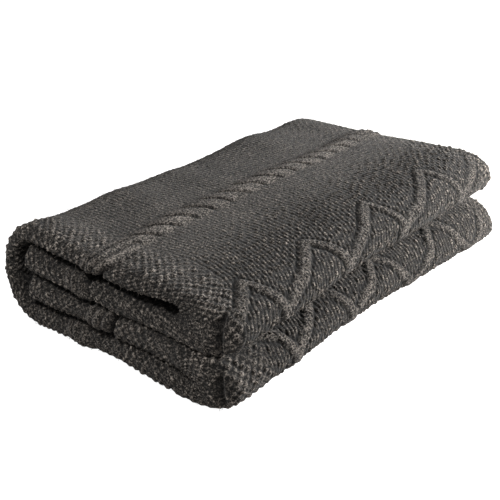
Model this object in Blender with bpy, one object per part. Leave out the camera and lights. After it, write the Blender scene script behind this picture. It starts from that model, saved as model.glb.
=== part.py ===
"""Aran knit blanket, doubled end to end and then folded in four: one closed body of cloth.

The knitted panel is first doubled, so that its turn, the nose, lies at one end (-X) and its two
knitted ends lie open at the other (+X). The doubled cloth then runs as one strip: from the free
edge of the upper flap round the upper fold, over the top, round the loose wrap (+Y), under the
bottom, round the lower fold and back in along the lower flap.

X runs along the folds, Y across them (folds at -Y, wrap at +Y), Z up. The origin is under the
middle of the folded blanket. Lengths are in metres.
"""

import math

import bmesh
import bpy
import numpy as np

# Folded blanket
LENGTH = 0.638
WIDTH = 0.420

# Cloth
SHEET = 0.0105        # the knitted cloth beside its cables
LOOSE_GAP = 0.0125    # between the two sheets of the doubled cloth
TOP_GAP = 0.0015      # the same in the top layer, which lies flat
LAYER_GAP = 0.0045    # between one doubled layer and the next

# Nose of the doubled cloth
NOSE_DEPTH = 0.011    # how far the middle of the cloth swings past the flat part
NOSE_SPREAD = 0.10    # extra depth for each metre that the two sheets lie apart
NOSE_ANGLES = (25, 50, 75, 105, 130, 155)
NOSE_ANGLES_BACK = (45, 90, 135)

# Heights of the middle of each sheet, from the bottom up
BOTTOM_OUT = SHEET / 2
BOTTOM_IN = BOTTOM_OUT + SHEET + LOOSE_GAP
LOWER_IN = BOTTOM_IN + SHEET + LAYER_GAP
LOWER_OUT = LOWER_IN + SHEET + LOOSE_GAP
UPPER_OUT = LOWER_OUT + SHEET + LAYER_GAP
UPPER_IN = UPPER_OUT + SHEET + LOOSE_GAP
TOP_IN = UPPER_IN + SHEET + LAYER_GAP
TOP_OUT = TOP_IN + SHEET + TOP_GAP
EYE = 0.008           # the upper flap sags this much where the upper fold stands open

# Turns of each sheet, in the order in which the strip runs through them.
# side: -1 is the side of the folds, +1 the wrap; apex: how far out the turn reaches in Y;
# depth: how far back from the apex it begins; fullness: 2 is an ellipse, more is squarer
OUT_TURNS = (
    # side, apex, depth, from level, to level, fullness
    (-1, -0.197, 0.057, UPPER_OUT, TOP_OUT, 2.3),
    (+1, 0.204, 0.062, TOP_OUT, BOTTOM_OUT, 2.4),
    (-1, -0.201, 0.057, BOTTOM_OUT, LOWER_OUT, 2.3),
)
# The inner sheet lies well back from both folds at the nose and fills them at the open end
IN_TURNS_NOSE = (
    (-1, -0.112, 0.014, UPPER_IN - EYE, TOP_IN, 2.0),
    (+1, 0.188, 0.047, TOP_IN, BOTTOM_IN, 2.4),
    (-1, -0.135, 0.014, BOTTOM_IN, LOWER_IN, 2.0),
)
IN_TURNS_OPEN = (
    (-1, -0.168, 0.034, UPPER_IN, TOP_IN, 2.2),
    (+1, 0.188, 0.047, TOP_IN, BOTTOM_IN, 2.4),
    (-1, -0.170, 0.034, BOTTOM_IN, LOWER_IN, 2.2),
)
FILL_FROM = -0.26     # the inner sheet moves out into the folds between these places along X
FILL_TO = 0.10
UPPER_FLAP_EDGE = 0.160
LOWER_FLAP_EDGE = 0.150
TURN_STEPS = 48

# Twisted cable along each layer; where its middle lies in Y on each
UPPER_FLAP_CABLE = 0.045
TOP_CABLE = 0.020
BOTTOM_CABLE = 0.050
LOWER_FLAP_CABLE = 0.008
CABLE_WIDTH = 0.036
CABLE_HEIGHT = 0.0055
CABLE_PITCH = 0.068   # two of its crossings
CABLE_DIP = 0.6       # share of its height that a strand loses where it passes under
CABLE_ROWS = (
    # share of the half width, height, phase of its crossings
    (-1.0, 0.0, 0.0),
    (-0.55, 1.0, 0.0),
    (0.0, 0.9, 0.25),
    (0.55, 1.0, 0.5),
    (1.0, 0.0, 0.0),
)

# Zigzag rope cables over both folds; low is beside the crease or the floor, high above it
ROPE_WIDTH = 0.016
ROPE_HEIGHT = 0.005
ROPE_ROWS = ((-1.0, 0.0), (-0.5, 0.85), (0.0, 1.0), (0.5, 0.85), (1.0, 0.0))
ROPE_ROUNDING = 0.06
NOSE_FADE = (0.016, 0.045)     # a rope rises between these distances from the nose end
OPEN_FADE = (0.020, 0.058)     # and between these from the open end, out of the moss stitch
UPPER_ZIGZAG = (
    # distance from the nose end, height of the swing; the upper fold is pulled askew
    (-0.010, 0.0), (0.070, 1.0), (0.100, 0.0), (0.208, 1.0), (0.240, 0.0),
    (0.348, 1.0), (0.376, 0.0), (0.500, 1.0), (0.538, 0.0), (0.645, 1.0),
)
LOWER_ZIGZAG = (
    (-0.005, 0.0), (0.062, 1.0), (0.127, 0.0), (0.190, 1.0), (0.250, 0.0),
    (0.335, 1.0), (0.400, 0.0), (0.487, 1.0), (0.568, 0.0), (0.645, 1.0),
)
# Swing of each rope, measured along the cloth from the ends of its fold
UPPER_ROPE_LOW = 0.076
UPPER_ROPE_HIGH = -0.010
UPPER_BAND_PAST = 0.006
ROPE_TRAVEL = 0.050            # about how far a rope swings
LOWER_ROPE_LOW = 0.060
LOWER_ROPE_HIGH = -0.028
FLOOR_CLEAR = (0.008, 0.022)   # a rope rises between these heights of the cloth's middle

# Stations along X
PLAIN_STATIONS = 9             # on hidden sheets
LEAST_STEP = 0.008             # between two stations
MOST_STEP = 0.021

# Thinning of the cloth near a free or a knitted edge
EDGE_DISTANCE = (0.0, 0.005, 0.014)
EDGE_SHARE = (0.35, 0.82, 1.0)

# How the pile lies
NEAR_FALL = 0.006      # the nose end is lower than the nominal height
FAR_RISE = 0.009       # the open end is higher
FOLD_RISE = 0.004      # the upper fold stands up at the open end
FOLD_FALL = 0.008      # and rolls down at the nose end
SPLAY = 0.016          # the lower fold spreads outwards at the open end
DROOP = 0.007          # and droops there, most at the height DROOP_UP
DROOP_UP = 0.32
DROOP_REACH = 0.13
SHOULDER = 0.004       # the top of the wrap spreads at the nose end
FOLD_FROM = 0.02       # how far from the middle the side of the folds begins
WRAP_FROM = 0.06       # the same on the side of the wrap
NOSE_FROM = 0.10       # and at the nose end
CROWN = 0.003          # rise of the middle of the top
CROWN_SPREAD = 0.9
TOP_RECESS = 0.008     # the top layer's nose lies back from the others
TOP_SHARE = (0.45, 0.9)
TUCK = 0.024           # the foot of the wrap is drawn in
WAIST = 0.007          # so is the lower fold, about a third of the way along
WAIST_X = -0.05
WAIST_REACH = 0.15

# Bumps of the top's far side: place along X, height, reach
BACK_BUMPS = (
    (-0.290, 0.004, 0.035),
    (-0.140, 0.002, 0.030),
    (-0.030, 0.002, 0.030),
    (0.160, 0.006, 0.050),
    (0.285, 0.002, 0.025),
)
BACK_FROM = 0.0
BACK_TO = 0.14

# Slow waves. size: in metres; x, y, z: radians for each metre; start: radians
SIDE_WAVE = {"size": 0.003, "x": 13, "y": 0, "z": 18, "start": 0.8}
NOSE_WAVE = {"size": 0.003, "x": 0, "y": 21, "z": 30, "start": 1.0}
LUMP_WAVE = {"size": 0.0018, "x": 19, "y": 6, "z": 0, "start": 0.6}
LUMP_SHARE = {"size": 1.0, "x": -8, "y": 17, "z": 0, "start": 1.6}


def superellipse_turn(side, apex, depth, start, end, fullness):
    """Half turn of a sheet between two levels, as (y, z) points."""
    angles = np.linspace(-math.pi / 2, math.pi / 2, TURN_STEPS)
    across = np.abs(np.cos(angles)) ** (2 / fullness)
    up = np.sign(angles) * np.abs(np.sin(angles)) ** (2 / fullness)
    y = apex - side * depth * (1 - across)
    z = (start + end) / 2 + (end - start) / 2 * up
    return np.column_stack([y, z])


class Route:
    """Middle line of one sheet through the folds, measured along the cloth."""

    def __init__(self, turns, first_edge, last_edge):
        points = [first_edge]
        marks = [0]
        for turn in turns:
            marks.append(len(points))
            points.extend(superellipse_turn(*turn))
            marks.append(len(points) - 1)
        points.append(last_edge)
        marks.append(len(points) - 1)
        self.points = np.array(points)
        steps = np.linalg.norm(np.diff(self.points, axis=0), axis=1)
        self.along = np.concatenate([[0], np.cumsum(steps)])
        self.marks = self.along[marks]
        tangent = np.gradient(self.points, self.along, axis=0)
        tangent /= np.linalg.norm(tangent, axis=1)[:, None]
        self.normals = np.column_stack([-tangent[:, 1], tangent[:, 0]])

    def at(self, along):
        """Points and outward normals at lengths along the cloth."""
        point = np.column_stack([np.interp(along, self.along, self.points[:, k]) for k in (0, 1)])
        normal = np.column_stack([np.interp(along, self.along, self.normals[:, k]) for k in (0, 1)])
        return point, normal / np.linalg.norm(normal, axis=1)[:, None]


OUT = Route(OUT_TURNS, (UPPER_FLAP_EDGE, UPPER_OUT), (LOWER_FLAP_EDGE, LOWER_OUT))
IN_EDGES = (UPPER_FLAP_EDGE, UPPER_IN), (LOWER_FLAP_EDGE, LOWER_IN)
IN_NOSE = Route(IN_TURNS_NOSE, *IN_EDGES)
IN_OPEN = Route(IN_TURNS_OPEN, *IN_EDGES)


def smooth(value, low, high):
    """Soft step from 0 at low to 1 at high."""
    t = np.clip((value - low) / (high - low), 0, 1)
    return t * t * (3 - 2 * t)


def swing_at(from_nose, turns):
    """Height of a rope's swing, and half its width along the cloth, which grows with its slant."""
    places = [row[0] for row in turns]
    k = min(max(int(np.searchsorted(places, from_nose)) - 1, 0), len(places) - 2)
    length = places[k + 1] - places[k]
    share = (from_nose - places[k]) / length
    eased = share - ROPE_ROUNDING * math.sin(2 * math.pi * share)
    swing = turns[k][1] * (1 - eased) + turns[k + 1][1] * eased
    slant = math.hypot(1, ROPE_TRAVEL / length)
    return swing, ROPE_WIDTH / 2 * (1 + (slant - 1) * math.sin(math.pi * share))


class Rows:
    """Rows of mesh points along the cloth. Those beside a rope swing with it: a row lies at
    fixed + follow * middle of the rope + spread * half width of the rope."""

    def __init__(self):
        self.columns = {name: [] for name in (
            "fixed", "follow", "spread", "low", "high", "lower", "rope", "cable", "phase")}

    def add(self, fixed, **others):
        for name, values in self.columns.items():
            values.append(fixed if name == "fixed" else others.get(name, 0.0))

    def plain(self, start, end, count):
        """Evenly spaced rows between two others, which are left out."""
        for place in np.linspace(start, end, count + 2)[1:-1]:
            self.add(place)

    def cable_band(self, centre, raised):
        """The twisted cable, or just its edges and middle where it is hidden."""
        for share, height, phase in CABLE_ROWS if raised else CABLE_ROWS[::2]:
            self.add(centre + share * CABLE_WIDTH / 2, cable=height, phase=phase)

    def zigzag_band(self, start, low, high, end, below, above, lower):
        """A rope that swings from low to high between two straight rows."""
        swing = {"low": low, "high": high, "lower": lower}
        self.add(start)
        for share in np.linspace(0, 1, below + 1)[1:-1]:
            self.add(start * (1 - share), follow=share, spread=-share, **swing)
        for share, height in ROPE_ROWS:
            self.add(0.0, follow=1.0, spread=share, rope=height, **swing)
        for share in np.linspace(1, 0, above + 1)[1:-1]:
            self.add(end * (1 - share), follow=share, spread=share, **swing)
        self.add(end)

    def finish(self):
        for name, values in self.columns.items():
            setattr(self, name, np.array(values))
        return self

    def along(self, from_nose):
        """Length along the cloth of every row, at a distance from the nose end."""
        upper, upper_half = swing_at(from_nose, UPPER_ZIGZAG)
        lower, lower_half = swing_at(from_nose, LOWER_ZIGZAG)
        swing = np.where(self.lower, lower, upper)
        half_width = np.where(self.lower, lower_half, upper_half)
        middle = self.low + (self.high - self.low) * swing
        return self.fixed + self.follow * middle + self.spread * half_width


def cloth_rows():
    """Rows from the upper flap's free edge to the lower flap's."""
    _, fold_in, fold_top, wrap_top, wrap_foot, low_foot, low_in, end = OUT.marks
    half = CABLE_WIDTH / 2
    rows = Rows()
    for place in EDGE_DISTANCE:
        rows.add(place)
    cable = UPPER_FLAP_EDGE - UPPER_FLAP_CABLE
    rows.plain(EDGE_DISTANCE[-1], cable - half, 1)
    rows.cable_band(cable, raised=False)
    rows.plain(cable + half, fold_in, 1)
    low, high = fold_in + UPPER_ROPE_LOW, fold_top + UPPER_ROPE_HIGH
    band_end = fold_top + UPPER_BAND_PAST
    rows.zigzag_band(fold_in, low, high, band_end, 5, 4, lower=False)
    cable = fold_top + TOP_CABLE - OUT_TURNS[0][1] - OUT_TURNS[0][2]
    rows.plain(band_end, cable - half, 3)
    rows.cable_band(cable, raised=True)
    rows.plain(cable + half, wrap_top, 2)
    rows.add(wrap_top)
    rows.plain(wrap_top, wrap_foot, 8)
    rows.add(wrap_foot)
    cable = wrap_foot + OUT_TURNS[1][1] - OUT_TURNS[1][2] - BOTTOM_CABLE
    rows.plain(wrap_foot, cable - half, 1)
    rows.cable_band(cable, raised=False)
    rows.plain(cable + half, low_foot, 1)
    low, high = low_foot + LOWER_ROPE_LOW, low_in + LOWER_ROPE_HIGH
    rows.zigzag_band(low_foot, low, high, low_in, 4, 4, lower=True)
    cable = end - (LOWER_FLAP_EDGE - LOWER_FLAP_CABLE)
    rows.plain(low_in, cable - half, 1)
    rows.cable_band(cable, raised=False)
    rows.plain(cable + half, end - EDGE_DISTANCE[-1], 1)
    for place in reversed(EDGE_DISTANCE):
        rows.add(end - place)
    return rows.finish()


ROWS = cloth_rows()
OPEN_END = LENGTH / 2
FLAT_END = -LENGTH / 2 + NOSE_DEPTH + SHEET / 2


def edge_taper(distance):
    """Share of the cloth's thickness left near a free or a knitted edge."""
    return np.interp(distance, EDGE_DISTANCE, EDGE_SHARE)


END_PLACES = ROWS.along(FLAT_END + LENGTH / 2)
ROW_TAPER = edge_taper(np.minimum(END_PLACES, OUT.marks[-1] - END_PLACES))


def raised_at(x):
    """Share of their full height that the ropes have, away from both ends."""
    from_nose, from_open = x + LENGTH / 2, LENGTH / 2 - x
    return smooth(from_nose, *NOSE_FADE) * smooth(from_open, *OPEN_FADE)


def outer_points(x, face):
    """One station across the outer sheet; face is +1 for the outside, -1 for the inside."""
    along = ROWS.along(x + LENGTH / 2)
    point, normal = OUT.at(along)
    offset = face * ROW_TAPER * edge_taper(OPEN_END - x) * SHEET / 2
    if face > 0:
        turns = (x + LENGTH / 2) / CABLE_PITCH + ROWS.phase
        wave = 1 - CABLE_DIP * (1 - np.cos(2 * math.pi * turns)) / 2
        over_floor = smooth(point[:, 1], *FLOOR_CLEAR)
        offset = offset + ROWS.rope * ROPE_HEIGHT * raised_at(x) * over_floor
        offset = offset + ROWS.cable * CABLE_HEIGHT * wave * (point[:, 1] > UPPER_IN)
    place = point + normal * offset[:, None]
    return np.column_stack([np.full(len(along), x), place])


def inner_at(along, x):
    """Points and normals of the inner sheet beside lengths along the outer sheet."""
    nose_point, nose_normal = IN_NOSE.at(np.interp(along, OUT.marks, IN_NOSE.marks))
    open_point, open_normal = IN_OPEN.at(np.interp(along, OUT.marks, IN_OPEN.marks))
    fill = smooth(x, FILL_FROM, FILL_TO)
    normal = nose_normal + (open_normal - nose_normal) * fill
    normal /= np.linalg.norm(normal, axis=1)[:, None]
    return nose_point + (open_point - nose_point) * fill, normal


def inner_points(x, face):
    """One station across the inner sheet; face is +1 for the side away from the outer sheet."""
    point, normal = inner_at(END_PLACES, x)
    taper = ROW_TAPER * edge_taper(OPEN_END - x)
    place = point - normal * (face * taper * SHEET / 2)[:, None]
    return np.column_stack([np.full(len(place), x), place])


def nose_points(degrees, face):
    """One station round the nose that joins the outer sheet to the inner one."""
    out_point, out_normal = OUT.at(END_PLACES)
    in_point, in_normal = inner_at(END_PLACES, FLAT_END)
    turn = math.radians(degrees)
    apart = np.linalg.norm(out_point - in_point, axis=1)
    depth = NOSE_DEPTH + NOSE_SPREAD * np.maximum(apart - SHEET - LOOSE_GAP, 0)
    middle = out_point + (in_point - out_point) * (1 - math.cos(turn)) / 2
    normal = out_normal if degrees < 90 else in_normal
    offset = face * ROW_TAPER * SHEET / 2
    if face > 0:
        offset = offset + ROWS.cable * CABLE_HEIGHT * math.sin(turn)
    place = middle + normal * (math.cos(turn) * offset)[:, None]
    x = FLAT_END - (depth + offset) * math.sin(turn)
    return np.column_stack([x, place])


def outer_stations():
    """Places along X on the outer sheet, with one at or near each turn of both zigzags."""
    first_edge = OPEN_END - EDGE_DISTANCE[-1]
    turns = [row[0] - LENGTH / 2 for row in UPPER_ZIGZAG]
    turns += [row[0] - LENGTH / 2 for row in LOWER_ZIGZAG]
    kept = [FLAT_END]
    for x in sorted(turns) + [first_edge]:
        if x > kept[-1] + LEAST_STEP and x < first_edge - LEAST_STEP:
            kept.append(x)
    kept.append(first_edge)
    stations = []
    for a, b in zip(kept, kept[1:]):
        count = math.ceil((b - a) / MOST_STEP)
        stations += [a + (b - a) * k / count for k in range(count)]
    return stations + [OPEN_END - d for d in reversed(EDGE_DISTANCE)]


def plain_stations():
    """Places along X on hidden sheets and on the inside of the outer one."""
    flat = np.linspace(FLAT_END, OPEN_END - EDGE_DISTANCE[-1], PLAIN_STATIONS)
    return list(flat) + [OPEN_END - EDGE_DISTANCE[1], OPEN_END]


def cloth_face(face):
    """Grid of points on one face of the cloth, from the outer sheet's open end to the inner's."""
    out_x = outer_stations() if face > 0 else plain_stations()
    angles = NOSE_ANGLES if face > 0 else NOSE_ANGLES_BACK
    grid = [outer_points(x, face) for x in reversed(out_x)]
    grid += [nose_points(angle, face) for angle in angles]
    grid += [inner_points(x, face) for x in plain_stations()]
    return np.array(grid)


def wave_at(points, wave):
    """Height of a slow wave at every point."""
    turn = sum(points[..., k] * wave[name] for k, name in enumerate("xyz"))
    return wave["size"] * np.sin(turn + wave["start"])


def settle(points):
    """Bends the pile as it lies: higher at the open end, a little lumpy, its wrap tucked in."""
    x, y, z = points[..., 0], points[..., 1], points[..., 2]
    up = np.clip(z / (TOP_OUT + SHEET / 2), 0, 1)
    far = smooth(x, -LENGTH / 2, LENGTH / 2)
    fold_side = smooth(-y, FOLD_FROM, WIDTH / 2)
    wrap_side = smooth(y, WRAP_FROM, WIDTH / 2)
    nose_side = smooth(-x, NOSE_FROM, LENGTH / 2)
    crown = np.cos(math.pi * x / LENGTH) * np.cos(math.pi * CROWN_SPREAD * y / WIDTH)
    lift = FAR_RISE * far * up - NEAR_FALL * (1 - far) + CROWN * crown
    lift = lift + fold_side * (FOLD_RISE * far - FOLD_FALL * (1 - far))
    lift = lift + wave_at(points, LUMP_WAVE) * wave_at(points, LUMP_SHARE)
    for place, height, reach in BACK_BUMPS:
        lift = lift + height * smooth(y, BACK_FROM, BACK_TO) * np.exp(-((x - place) / reach) ** 2)
    waist = WAIST * fold_side * (1 - up) * np.exp(-((x - WAIST_X) / WAIST_REACH) ** 2)
    open_side = smooth(x, 0, LENGTH / 2)
    waist = waist - SPLAY * fold_side * (1 - up) ** 2 * open_side
    droop = DROOP * fold_side * open_side * np.exp(-((up - DROOP_UP) / DROOP_REACH) ** 2)
    shoulder = SHOULDER * wrap_side * nose_side * up
    tuck = TUCK * wrap_side * (1 - up) ** 2
    recess = wave_at(points, NOSE_WAVE) + TOP_RECESS * smooth(up, *TOP_SHARE)
    moved = points.copy()
    moved[..., 0] = x + nose_side * recess
    moved[..., 1] = y + wave_at(points, SIDE_WAVE) * up + waist - tuck + shoulder
    moved[..., 2] = np.maximum(z + lift * up - droop, 0)
    return moved


def zipper(first, second, first_share, second_share):
    """Triangles between two lines of points that run side by side."""
    triangles = []
    i = j = 0
    while i < len(first) - 1 or j < len(second) - 1:
        if j == len(second) - 1:
            first_steps = True
        else:
            first_steps = i < len(first) - 1 and first_share[i + 1] <= second_share[j + 1]
        if first_steps:
            triangles.append((first[i], first[i + 1], second[j]))
            i += 1
        else:
            triangles.append((first[i], second[j + 1], second[j]))
            j += 1
    return triangles


def running_measure(angles, stations):
    """Distance of each station of one face along the cloth's side edge."""
    outer = [OPEN_END - x for x in reversed(stations)]
    half_round = math.pi * NOSE_DEPTH
    nose = [outer[-1] + angle / 180 * half_round for angle in angles]
    inner = [outer[-1] + half_round + x - FLAT_END for x in plain_stations()]
    return outer + nose + inner


def blanket_mesh():
    """The two faces of the cloth, joined along its four edges."""
    outside = settle(cloth_face(+1))
    inside = settle(cloth_face(-1))
    every = np.concatenate([outside.reshape(-1, 3), inside.reshape(-1, 3)])
    low, high = every.min(axis=0), every.max(axis=0)
    origin = np.array([(low[0] + high[0]) / 2, (low[1] + high[1]) / 2, low[2]])
    bm = bmesh.new()
    out_verts = [[bm.verts.new(p - origin) for p in row] for row in outside]
    in_verts = [[bm.verts.new(p - origin) for p in row] for row in inside]
    strips = list(zip(out_verts, out_verts[1:])) + list(zip(in_verts, in_verts[1:]))
    strips += [(out_verts[0], in_verts[0]), (out_verts[-1], in_verts[-1])]
    for a, b in strips:
        for k in range(len(a) - 1):
            bm.faces.new((a[k], a[k + 1], b[k + 1], b[k]))
    bmesh.ops.triangulate(bm, faces=bm.faces[:])
    out_share = running_measure(NOSE_ANGLES, outer_stations())
    in_share = running_measure(NOSE_ANGLES_BACK, plain_stations())
    for k in (0, -1):
        out_edge = [row[k] for row in out_verts]
        in_edge = [row[k] for row in in_verts]
        for triangle in zipper(out_edge, in_edge, out_share, in_share):
            bm.faces.new(triangle)
    bmesh.ops.recalc_face_normals(bm, faces=bm.faces)
    mesh = bpy.data.meshes.new("blanket")
    bm.to_mesh(mesh)
    bm.free()
    return mesh


def yarn_material():
    """Charcoal heather wool, rough and without gloss."""
    material = bpy.data.materials.new("charcoal heather yarn")
    material.use_nodes = True
    surface = material.node_tree.nodes["Principled BSDF"]
    surface.inputs["Base Color"].default_value = (0.060, 0.056, 0.054, 1)
    surface.inputs["Roughness"].default_value = 0.95
    surface.inputs["Metallic"].default_value = 0.0
    return material


def build():
    """Clears the scene and makes the blanket."""
    for old in list(bpy.data.objects):
        bpy.data.objects.remove(old, do_unlink=True)
    mesh = blanket_mesh()
    mesh.materials.append(yarn_material())
    mesh.shade_smooth()
    blanket = bpy.data.objects.new("blanket", mesh)
    bpy.context.scene.collection.objects.link(blanket)


build()
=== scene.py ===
"""Aran knit blanket, doubled and folded in four, in charcoal heather wool.

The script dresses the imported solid. It follows the cloth as it lies: the camera and the light, the
knitted panel with its stitches and cables, its knitted ends with their cast-off chains, and the
wool's loose hairs. Lengths are in metres, and the frame is the solid's own.
"""

import math

import bpy
import numpy as np
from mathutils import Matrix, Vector


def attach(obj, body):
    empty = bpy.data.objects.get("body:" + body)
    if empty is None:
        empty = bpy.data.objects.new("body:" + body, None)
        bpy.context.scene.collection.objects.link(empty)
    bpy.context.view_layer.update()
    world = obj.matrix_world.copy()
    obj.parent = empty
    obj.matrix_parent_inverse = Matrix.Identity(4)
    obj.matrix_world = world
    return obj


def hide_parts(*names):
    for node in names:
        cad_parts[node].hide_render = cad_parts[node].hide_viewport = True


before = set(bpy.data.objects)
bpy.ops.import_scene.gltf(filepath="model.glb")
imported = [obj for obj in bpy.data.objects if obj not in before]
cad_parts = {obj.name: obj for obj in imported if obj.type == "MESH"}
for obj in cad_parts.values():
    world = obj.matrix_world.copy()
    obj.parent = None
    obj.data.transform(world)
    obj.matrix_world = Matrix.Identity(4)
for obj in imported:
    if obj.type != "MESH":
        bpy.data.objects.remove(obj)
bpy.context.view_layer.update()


# Camera, light and floor
# The camera stands where the photograph was taken, a little above the pile's near left corner.
# A soft lamp stands close to the open end, in front of the folds. A weak one lights the nose.
PICTURE_PIXELS = 500
FOCAL_PIXELS = 850
SENSOR_MM = 36
CAMERA_PLACE = (-0.908, -0.6997, 0.5572)
CAMERA_HEADING = (0.7775, 0.6289)
CAMERA_DOWN = math.radians(24.2)
LAMPS = (
    # name, place, aim, width, watts
    ("soft lamp", (0.80, -0.95, 0.55), (0.05, -0.10, 0.08), 0.45, 31),
    ("weak lamp", (-0.85, 0.05, 1.15), (-0.30, -0.05, 0.06), 0.25, 7.5),
)
ROOM_DIM = 0.14
ROOM_BRIGHT = 0.18
FLOOR_HALF = 9.0
FLOOR_DROP = 0.0002
FLOOR_GREY = (0.62, 0.60, 0.58)
FLOOR_ROUGHNESS = 0.9
WHITE = (1, 1, 1, 1)


def aimed(direction):
    """Rotation that points an object's -Z along a direction."""
    return Vector(direction).to_track_quat("-Z", "Y")


def stage_object(name, data, place, direction):
    """A camera or a lamp, aimed along a direction."""
    item = bpy.data.objects.new(name, data)
    item.location = place
    item.rotation_mode = "QUATERNION"
    item.rotation_quaternion = aimed(direction)
    bpy.context.scene.collection.objects.link(item)
    return item


def dim_room():
    """A pale room, brighter towards the pile's open end, and white where the camera sees it."""
    room = bpy.data.worlds.new("pale room")
    room.use_nodes = True
    nodes, links = room.node_tree.nodes, room.node_tree.links
    place = nodes.new("ShaderNodeTexCoord")
    split = nodes.new("ShaderNodeSeparateXYZ")
    shade = nodes.new("ShaderNodeMapRange")
    shade.inputs["From Min"].default_value = -1
    shade.inputs["To Min"].default_value = ROOM_DIM
    shade.inputs["To Max"].default_value = ROOM_BRIGHT
    links.new(place.outputs["Generated"], split.inputs["Vector"])
    links.new(split.outputs["X"], shade.inputs["Value"])
    white = nodes.new("ShaderNodeMath")
    links.new(shade.outputs["Result"], white.inputs[0])
    links.new(nodes.new("ShaderNodeLightPath").outputs["Is Camera Ray"], white.inputs[1])
    links.new(white.outputs["Value"], nodes["Background"].inputs["Strength"])
    nodes["Background"].inputs["Color"].default_value = WHITE
    return room


camera_data = bpy.data.cameras.new("photo camera")
camera_data.sensor_width = SENSOR_MM
camera_data.lens = FOCAL_PIXELS * SENSOR_MM / PICTURE_PIXELS
level = math.cos(CAMERA_DOWN) / math.hypot(*CAMERA_HEADING)
heading = (CAMERA_HEADING[0] * level, CAMERA_HEADING[1] * level, -math.sin(CAMERA_DOWN))
bpy.context.scene.camera = stage_object("photo camera", camera_data, CAMERA_PLACE, heading)

for name, place, aim, width, watts in LAMPS:
    lamp = bpy.data.lights.new(name, "AREA")
    lamp.shape = "DISK"
    lamp.size = width
    lamp.energy = watts
    stage_object(name, lamp, place, Vector(aim) - Vector(place))
bpy.context.scene.world = dim_room()
bpy.context.scene.view_settings.view_transform = "Standard"

floor_paint = bpy.data.materials.new("pale floor")
floor_paint.use_nodes = True
floor_tree = floor_paint.node_tree
floor_surface = floor_tree.nodes["Principled BSDF"]
floor_surface.inputs["Base Color"].default_value = (*FLOOR_GREY, 1)
floor_surface.inputs["Roughness"].default_value = FLOOR_ROUGHNESS
floor_surface.inputs["Emission Color"].default_value = WHITE
seen = floor_tree.nodes.new("ShaderNodeLightPath").outputs["Is Camera Ray"]
floor_tree.links.new(seen, floor_surface.inputs["Emission Strength"])
floor_mesh = bpy.data.meshes.new("floor")
signs = ((-1, -1), (1, -1), (1, 1), (-1, 1))
floor_corners = [(x * FLOOR_HALF, y * FLOOR_HALF, -FLOOR_DROP) for x, y in signs]
floor_mesh.from_pydata(floor_corners, [], [(0, 1, 2, 3)])
floor_mesh.materials.append(floor_paint)
floor = bpy.data.objects.new("floor", floor_mesh)
bpy.context.scene.collection.objects.link(floor)


# The knitted panel
# One panel of chunky wool, doubled end to end and folded in four. Two sheets run through the folds
# together; they join round the nose, at -X, and their knitted ends lie open at +X.
LENGTH = 0.638
WIDTH = 0.420
SHEET = 0.0105
LOOSE_GAP = 0.0125
TOP_GAP = 0.0015
LAYER_GAP = 0.0045

# Levels of the middle of each layer, from the floor up
BOTTOM_OUT = SHEET / 2
BOTTOM_IN = BOTTOM_OUT + SHEET + LOOSE_GAP
LOWER_IN = BOTTOM_IN + SHEET + LAYER_GAP
LOWER_OUT = LOWER_IN + SHEET + LOOSE_GAP
UPPER_OUT = LOWER_OUT + SHEET + LAYER_GAP
UPPER_IN = UPPER_OUT + SHEET + LOOSE_GAP
TOP_IN = UPPER_IN + SHEET + LAYER_GAP
TOP_OUT = TOP_IN + SHEET + TOP_GAP

# Turns of the two sheets. The upper fold stands open in a small eye at the nose
EYE = 0.011
NOSE_DEPTH = 0.011
NOSE_SPREAD = 0.10
OUT_TURNS = (
    # side, apex, depth, from level, to level, fullness
    (-1, -0.197, 0.057, UPPER_OUT, TOP_OUT, 2.3),
    (+1, 0.204, 0.062, TOP_OUT, BOTTOM_OUT, 2.4),
    (-1, -0.201, 0.057, BOTTOM_OUT, LOWER_OUT, 2.3),
)
IN_TURNS_NOSE = (
    (-1, -0.112, 0.014, UPPER_IN - EYE, TOP_IN, 2.0),
    (+1, 0.188, 0.047, TOP_IN, BOTTOM_IN, 2.4),
    (-1, -0.135, 0.014, BOTTOM_IN, LOWER_IN, 2.0),
)
IN_TURNS_OPEN = (
    (-1, -0.168, 0.034, UPPER_IN, TOP_IN, 2.2),
    (+1, 0.188, 0.047, TOP_IN, BOTTOM_IN, 2.4),
    (-1, -0.170, 0.034, BOTTOM_IN, LOWER_IN, 2.2),
)
FILL_FROM = -0.26
FILL_TO = 0.10
UPPER_FLAP_EDGE = 0.160
LOWER_FLAP_EDGE = 0.150
TURN_STEPS = 96
OPEN_END = LENGTH / 2
FLAT_END = -LENGTH / 2 + NOSE_DEPTH + SHEET / 2

# How the pile lies: the same bends as the solid's
NEAR_FALL = 0.006
FAR_RISE = 0.009
FOLD_RISE = 0.004
FOLD_FALL = 0.008
SPLAY = 0.016
DROOP = 0.007
DROOP_UP = 0.32
DROOP_REACH = 0.13
SHOULDER = 0.004
FOLD_FROM = 0.02
WRAP_FROM = 0.06
NOSE_FROM = 0.10
CROWN = 0.003
CROWN_SPREAD = 0.9
TOP_RECESS = 0.008
TOP_SHARE = (0.45, 0.9)
TUCK = 0.024
WAIST = 0.007
WAIST_X = -0.05
WAIST_REACH = 0.15
BACK_BUMPS = (
    # place along X, height, reach
    (-0.290, 0.004, 0.035), (-0.140, 0.002, 0.030), (-0.030, 0.002, 0.030),
    (0.160, 0.006, 0.050), (0.285, 0.002, 0.025),
)
BACK_FROM = 0.0
BACK_TO = 0.14
SIDE_WAVE = {"size": 0.003, "x": 13, "y": 0, "z": 18, "start": 0.8}
NOSE_WAVE = {"size": 0.003, "x": 0, "y": 21, "z": 30, "start": 1.0}
LUMP_WAVE = {"size": 0.0018, "x": 19, "y": 6, "z": 0, "start": 0.6}
LUMP_SHARE = {"size": 1.0, "x": -8, "y": 17, "z": 0, "start": 1.6}
PILE_SHIFT = (0.003298, 0.006754, 0.0)

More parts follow.
